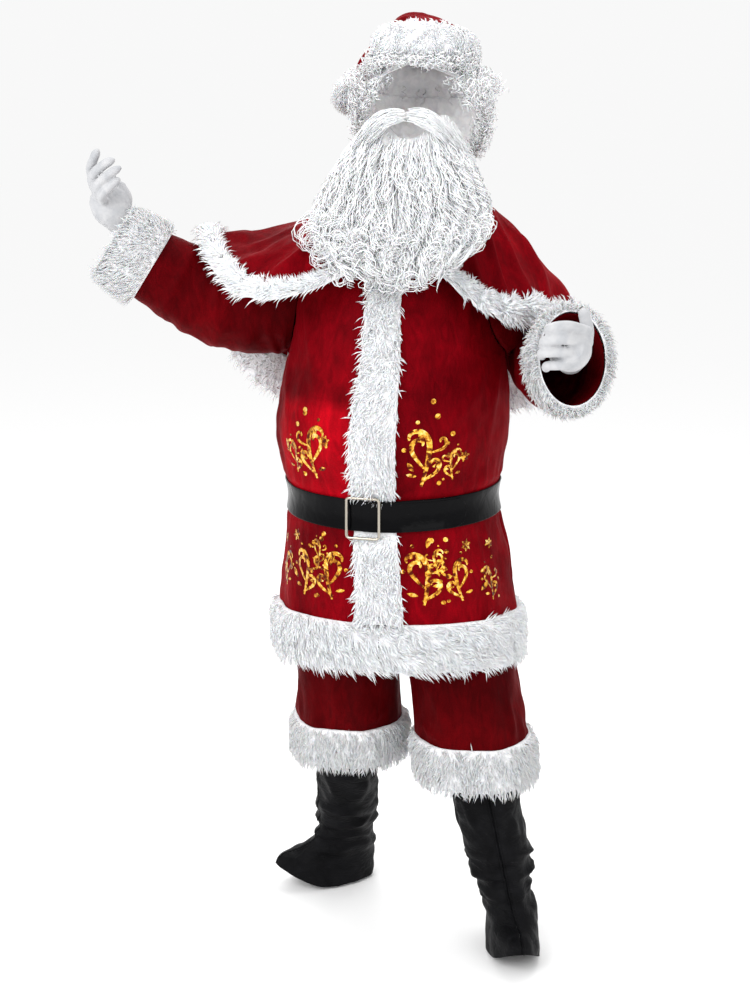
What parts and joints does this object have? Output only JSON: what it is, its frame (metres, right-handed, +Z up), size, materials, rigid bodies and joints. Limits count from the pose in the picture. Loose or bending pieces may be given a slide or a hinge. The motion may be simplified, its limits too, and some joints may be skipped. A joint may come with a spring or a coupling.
{
  "type": "santa suit",
  "caption": "Worn red velvet Santa suit: hat, curly wig and beard, fur-trimmed capelet and jacket, belt, gloves, knee breeches and boot covers, hollow as on its wearer.",
  "frame": {"origin": "between the wearer's shoulders, 1.44 m above the soles of the boot covers, where the wearer's body carries the suit", "axes": "+Z up along the wearer's height; the suit's front faces -Y and the wearer's left is towards +X"},
  "size_m": [0.9752, 0.6773, 1.8037],
  "materials": {
    "red_velvet": "crushed velvet",
    "white_plush": "long-pile plush",
    "white_hair": "curled synthetic hair",
    "white_knit": "stretch knit",
    "black_vinyl": "glossy imitation leather",
    "black_leather": "satin imitation leather",
    "nickel": "polished nickel"
  },
  "bodies": {
    "root": {"hat_crown": "red_velvet", "hat_brim_plush": "white_plush", "hat_pompom": "white_plush", "wig": "white_hair", "beard": "white_hair", "moustache": "white_hair", "capelet": "red_velvet", "capelet_trim_plush": "white_plush", "jacket_front_left": "red_velvet", "jacket_front_right": "red_velvet", "jacket_back": "red_velvet", "jacket_hem_plush": "white_plush", "placket_plush": "white_plush", "sleeve_left": "red_velvet", "sleeve_right": "red_velvet", "cuff_plush_left": "white_plush", "cuff_plush_right": "white_plush", "belt_strap": "black_vinyl", "belt_tail": "black_vinyl", "buckle_frame": "nickel", "breeches_leg_left": "red_velvet", "breeches_leg_right": "red_velvet", "breeches_cuff_plush_left": "white_plush", "breeches_cuff_plush_right": "white_plush", "boot_cover_left_inner": "black_leather", "boot_cover_left_outer": "black_leather", "boot_cover_right_inner": "black_leather", "boot_cover_right_outer": "black_leather", "glove_left": "white_knit", "glove_right": "white_knit"}
  },
  "joints": []
}
